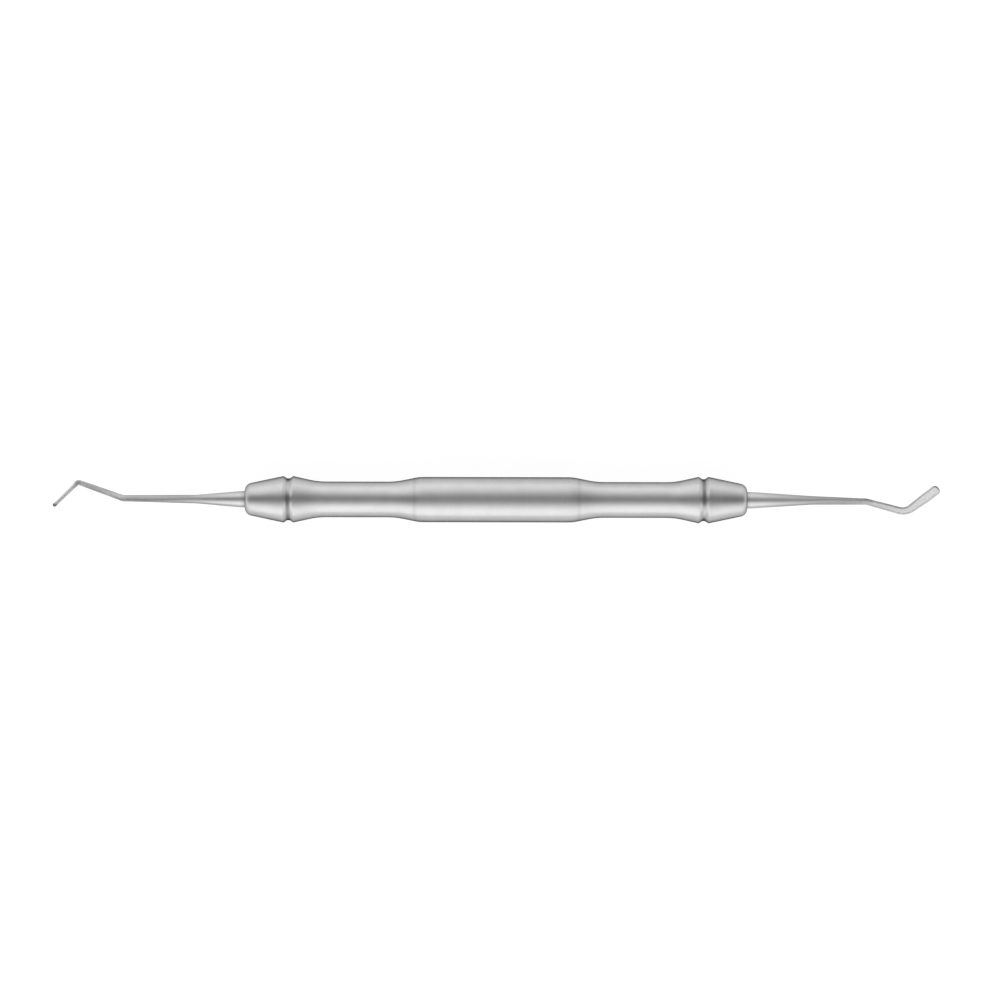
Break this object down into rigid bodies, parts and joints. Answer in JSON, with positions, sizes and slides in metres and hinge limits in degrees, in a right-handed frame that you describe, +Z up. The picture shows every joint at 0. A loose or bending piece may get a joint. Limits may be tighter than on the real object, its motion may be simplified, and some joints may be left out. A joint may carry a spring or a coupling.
{
  "type": "dental spatula",
  "caption": "Double-ended steel hand instrument: a turned finger-grip handle with a small bent spatula blade at each end, for placing and shaping filling material.",
  "frame": {"origin": "on the ground under the middle of the instrument's length and width, as it lies on its handle", "axes": "+X along the handle towards hatchet_end, +Y across the handle in the plane in which both ends are bent, +Z up from the ground"},
  "size_m": [0.176, 0.0092, 0.0092],
  "materials": {
    "handle_steel": "satin, with fine turning marks round the handle",
    "hoe_end_steel": "satin shank, with a fine blasted arm and blade",
    "hatchet_end_steel": "satin shank, with a fine blasted arm and blade"
  },
  "bodies": {
    "root": {"handle": "handle_steel", "hoe_end": "hoe_end_steel", "hatchet_end": "hatchet_end_steel"}
  },
  "joints": []
}
